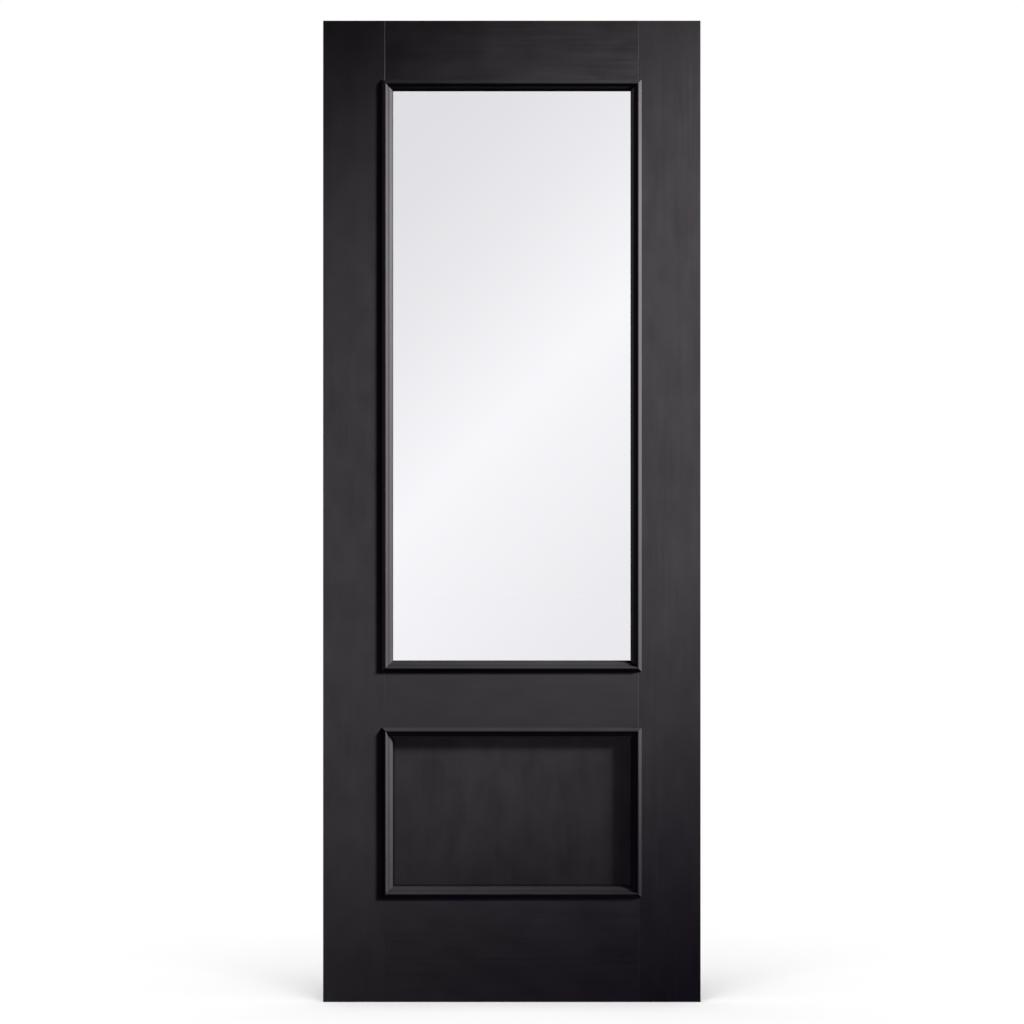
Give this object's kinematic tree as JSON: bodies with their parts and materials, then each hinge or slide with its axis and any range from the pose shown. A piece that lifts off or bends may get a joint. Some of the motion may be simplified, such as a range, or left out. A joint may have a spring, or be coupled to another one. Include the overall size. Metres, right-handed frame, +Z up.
{
  "type": "half-glazed panel door leaf",
  "caption": "Tall painted timber door leaf with a clear glass pane above a flat lower panel, both framed by raised mitred mouldings on a stile and rail frame.",
  "frame": {"origin": "middle of the bottom edge of the leaf, in the middle of its thickness", "axes": "+X across the leaf towards the right edge seen from the front, the front face looks along -Y, +Z up"},
  "size_m": [0.762, 0.047, 1.981],
  "materials": {
    "charcoal_paint": "satin charcoal black paint on timber with a faint open grain",
    "clear_glass": "clear, polished",
    "glazing_tape": "matt foam tape",
    "setting_block": "moulded, matt",
    "beech_dowel": "turned beech, unfinished",
    "pin_steel": "bright drawn wire"
  },
  "bodies": {
    "root": {"left_stile": "charcoal_paint", "right_stile": "charcoal_paint", "top_rail": "charcoal_paint", "lock_rail": "charcoal_paint", "bottom_rail": "charcoal_paint", "lower_panel": "charcoal_paint", "glass_moulding_front_top": "charcoal_paint", "glass_moulding_front_bottom": "charcoal_paint", "glass_moulding_front_left": "charcoal_paint", "glass_moulding_front_right": "charcoal_paint", "glass_moulding_back_top": "charcoal_paint", "glass_moulding_back_bottom": "charcoal_paint", "glass_moulding_back_left": "charcoal_paint", "glass_moulding_back_right": "charcoal_paint", "panel_moulding_front_top": "charcoal_paint", "panel_moulding_front_bottom": "charcoal_paint", "panel_moulding_front_left": "charcoal_paint", "panel_moulding_front_right": "charcoal_paint", "panel_moulding_back_top": "charcoal_paint", "panel_moulding_back_bottom": "charcoal_paint", "panel_moulding_back_left": "charcoal_paint", "panel_moulding_back_right": "charcoal_paint", "glass_pane": "clear_glass", "glazing_tape_front": "glazing_tape", "glazing_tape_back": "glazing_tape", "setting_blocks": "setting_block", "location_blocks": "setting_block", "top_rail_dowels": "beech_dowel", "lock_rail_dowels": "beech_dowel", "bottom_rail_dowels": "beech_dowel", "glass_moulding_pins": "pin_steel", "panel_moulding_pins": "pin_steel"}
  },
  "joints": []
}
